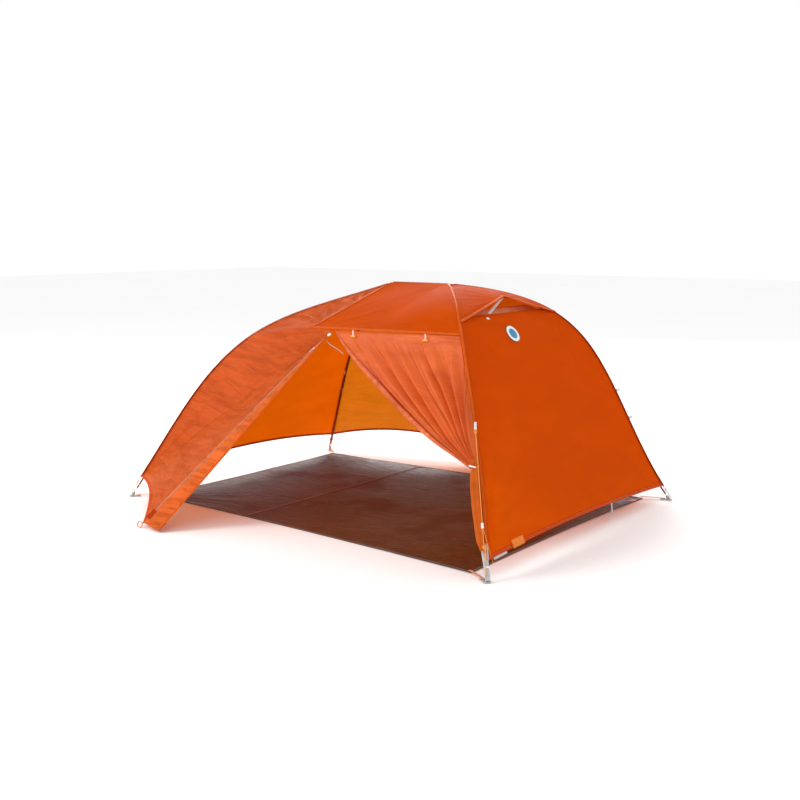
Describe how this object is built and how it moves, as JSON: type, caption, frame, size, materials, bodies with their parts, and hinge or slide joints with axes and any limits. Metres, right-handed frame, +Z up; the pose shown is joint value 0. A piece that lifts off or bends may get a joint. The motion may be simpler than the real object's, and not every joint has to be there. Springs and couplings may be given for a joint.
{
  "type": "tent on poles",
  "caption": "Freestanding dome tent: coated rainfly on a hubbed frame of arched poles over a ground sheet, side door gathered open, roof vent propped.",
  "frame": {"origin": "centre of the ground sheet, on the ground", "axes": "+Z up; +X towards the wide head end with the vent; -Y towards the open door"},
  "size_m": [2.5576, 2.6286, 1.248],
  "materials": {
    "fly_sunlit": "light coated ripstop, satin",
    "fly_roof": "light coated ripstop, satin",
    "fly_end": "light coated ripstop, satin",
    "ground_sheet": "coated woven sheet, satin",
    "pole": "anodised tube, glossy",
    "bare_metal": "brushed",
    "plastic": "moulded, matte",
    "grey_webbing": "woven webbing",
    "orange_webbing": "woven webbing",
    "cord": "braided",
    "pale_trim": "moulded, matte",
    "mesh": "fine net",
    "zip": "zip tape and coil"
  },
  "bodies": {
    "frame": {"ground_sheet": "ground_sheet", "pole_ridge": "pole", "hub_head": "plastic", "hub_foot": "plastic", "brow_clip_lower": "plastic", "pole_head_near": "pole", "pole_tip_head_near": "bare_metal", "corner_plate_head_near": "plastic", "sheet_strap_head_near": "grey_webbing", "pole_head_far": "pole", "pole_tip_head_far": "bare_metal", "corner_plate_head_far": "plastic", "sheet_strap_head_far": "grey_webbing", "pole_foot_near": "pole", "pole_tip_foot_near": "bare_metal", "corner_plate_foot_near": "plastic", "sheet_strap_foot_near": "grey_webbing", "pole_foot_far": "pole", "pole_tip_foot_far": "bare_metal", "corner_plate_foot_far": "plastic", "sheet_strap_foot_far": "grey_webbing"},
    "brow": {"brow_pole": "pole", "brow_clip_upper": "plastic"},
    "fly": {"roof_panel_near": "fly_roof", "roof_panel_far": "fly_roof", "head_end_panel": "fly_end", "foot_end_panel": "fly_end", "vent_hood": "fly_end", "vent_mesh": "mesh", "near_side_panel": "fly_sunlit", "far_vestibule_foot_panel": "fly_sunlit", "far_vestibule_head_panel": "fly_sunlit", "near_gathered_door": "fly_sunlit", "zip_far": "zip", "door_tie_toggle": "pale_trim", "guy_tab": "pale_trim", "guy_line": "cord", "stake_loop_far": "orange_webbing", "corner_webbing_head_near": "grey_webbing", "corner_webbing_head_far": "grey_webbing", "corner_webbing_foot_near": "orange_webbing", "corner_webbing_foot_far": "orange_webbing"},
    "near_door": {"near_door_panel": "fly_sunlit", "near_storm_flap": "fly_sunlit", "zip_near": "zip", "stake_loop_near": "orange_webbing"},
    "slider_near": {"zip_slider_near": "bare_metal"},
    "slider_far": {"zip_slider_far": "bare_metal"},
    "strut": {"vent_strut": "pale_trim"},
    "toggle_foot": {"brow_toggle_foot": "pale_trim"},
    "toggle_head": {"brow_toggle_head": "pale_trim"},
    "line_lock": {"guy_line_lock": "pale_trim"},
    "buckle_head_near": {"corner_buckle_head_near": "bare_metal"},
    "buckle_head_far": {"corner_buckle_head_far": "bare_metal"},
    "buckle_foot_near": {"corner_buckle_foot_near": "bare_metal"},
    "buckle_foot_far": {"corner_buckle_foot_far": "bare_metal"}
  },
  "joints": [
    {"name": "fly_lift", "type": "slide", "parent": "frame", "child": "fly", "axis": [0, 0, 1], "range_m": [0, 1.2]},
    {"name": "brow_pole_swivel", "type": "hinge", "parent": "frame", "child": "brow", "pos_m": [0.2, 0, 1.2184], "axis": [0, 0, 1], "range_deg": [-4, 4]},
    {"name": "near_door_swing", "type": "hinge", "parent": "fly", "child": "near_door", "pos_m": [0, -0.508, 1.016], "axis": [-0.7814, -0.2193, -0.5842], "range_deg": [0, 75]},
    {"name": "near_zip_slide", "type": "slide", "parent": "near_door", "child": "slider_near", "axis": [-0.4634, -0.5406, -0.7021], "range_m": [0, 1.15]},
    {"name": "far_zip_slide", "type": "slide", "parent": "fly", "child": "slider_far", "axis": [-0.0947, -0.6074, 0.7888], "range_m": [0, 1]},
    {"name": "vent_strut_fold", "type": "hinge", "parent": "fly", "child": "strut", "pos_m": [0.74335, -0.15, 1.11317], "axis": [-1, 0, 0], "range_deg": [0, 22], "deforming": ["vent_hood"]},
    {"name": "brow_toggle_foot_swing", "type": "hinge", "parent": "fly", "child": "toggle_foot", "pos_m": [0.155, -0.5315, 1.023], "axis": [-1, 0, 0], "range_deg": [0, 70]},
    {"name": "brow_toggle_head_swing", "type": "hinge", "parent": "fly", "child": "toggle_head", "pos_m": [0.626, -0.54, 1.0307], "axis": [-1, 0, 0], "range_deg": [0, 70]},
    {"name": "line_lock_slide", "type": "slide", "parent": "fly", "child": "line_lock", "axis": [0.3291, -0.3531, -0.8758], "range_m": [-0.25, 0.15]},
    {"name": "corner_buckle_head_near_slide", "type": "slide", "parent": "fly", "child": "buckle_head_near", "axis": [0.4088, -0.4512, -0.7932], "range_m": [-0.008, 0.006]},
    {"name": "corner_buckle_head_far_slide", "type": "slide", "parent": "fly", "child": "buckle_head_far", "axis": [0.4088, 0.4512, -0.7932], "range_m": [-0.008, 0.006]},
    {"name": "corner_buckle_foot_near_slide", "type": "slide", "parent": "fly", "child": "buckle_foot_near", "axis": [-0.4838, -0.3204, -0.8144], "range_m": [-0.008, 0.006]},
    {"name": "corner_buckle_foot_far_slide", "type": "slide", "parent": "fly", "child": "buckle_foot_far", "axis": [-0.4838, 0.3204, -0.8144], "range_m": [-0.008, 0.006]}
  ]
}
